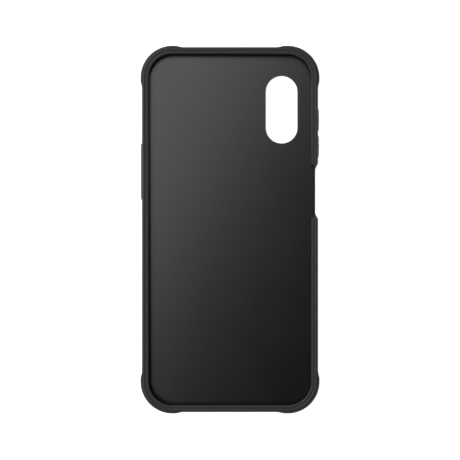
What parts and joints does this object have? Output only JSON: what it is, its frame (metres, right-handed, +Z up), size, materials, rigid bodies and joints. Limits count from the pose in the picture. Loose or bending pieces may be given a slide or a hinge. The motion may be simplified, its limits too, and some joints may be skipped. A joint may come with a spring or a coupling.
{
  "type": "phone case",
  "caption": "Slim rugged phone case: soft frame round a hard back plate, proud corner guards, sprung key covers and an open side notch.",
  "frame": {"origin": "middle of the case in plan, on the plane that it rests on when it lies on its back", "axes": "+X to the right and +Z up through the open front, seen from the front; +Y towards the phone's top end"},
  "size_m": [0.0844, 0.1734, 0.0141],
  "materials": {
    "frame_soft": "matte moulded TPU",
    "plate_hard": "fine matte polycarbonate",
    "lining_satin": "smooth satin film",
    "ring_hard": "satin polycarbonate",
    "guard_soft": "matte moulded TPU",
    "key_soft": "matte moulded TPU",
    "web_soft": "thin matte TPU",
    "actuator_hard": "hard polycarbonate",
    "grip_soft": "ribbed matte TPU"
  },
  "bodies": {
    "case": {"bumper_frame": "frame_soft", "back_plate": "plate_hard", "back_lining": "lining_satin", "camera_ring": "ring_hard", "corner_guard_top_left": "guard_soft", "corner_guard_top_right": "guard_soft", "corner_guard_bottom_left": "guard_soft", "corner_guard_bottom_right": "guard_soft", "grip_strip_left": "grip_soft", "grip_strip_right": "grip_soft"},
    "volume_up": {"volume_up_cover": "key_soft", "volume_up_web": "web_soft", "volume_up_actuator": "actuator_hard"},
    "volume_down": {"volume_down_cover": "key_soft", "volume_down_web": "web_soft", "volume_down_actuator": "actuator_hard"},
    "side_key": {"side_key_cover": "key_soft", "side_key_web": "web_soft", "side_key_actuator": "actuator_hard"}
  },
  "joints": [
    {"name": "volume_up_press", "type": "slide", "parent": "case", "child": "volume_up", "axis": [-1, 0, 0], "range_m": [0, 0.00035], "stiffness_N_per_m": 3000},
    {"name": "volume_down_press", "type": "slide", "parent": "case", "child": "volume_down", "axis": [-1, 0, 0], "range_m": [0, 0.00035], "stiffness_N_per_m": 3000},
    {"name": "side_key_press", "type": "slide", "parent": "case", "child": "side_key", "axis": [1, 0, 0], "range_m": [0, 0.00035], "stiffness_N_per_m": 3000}
  ]
}
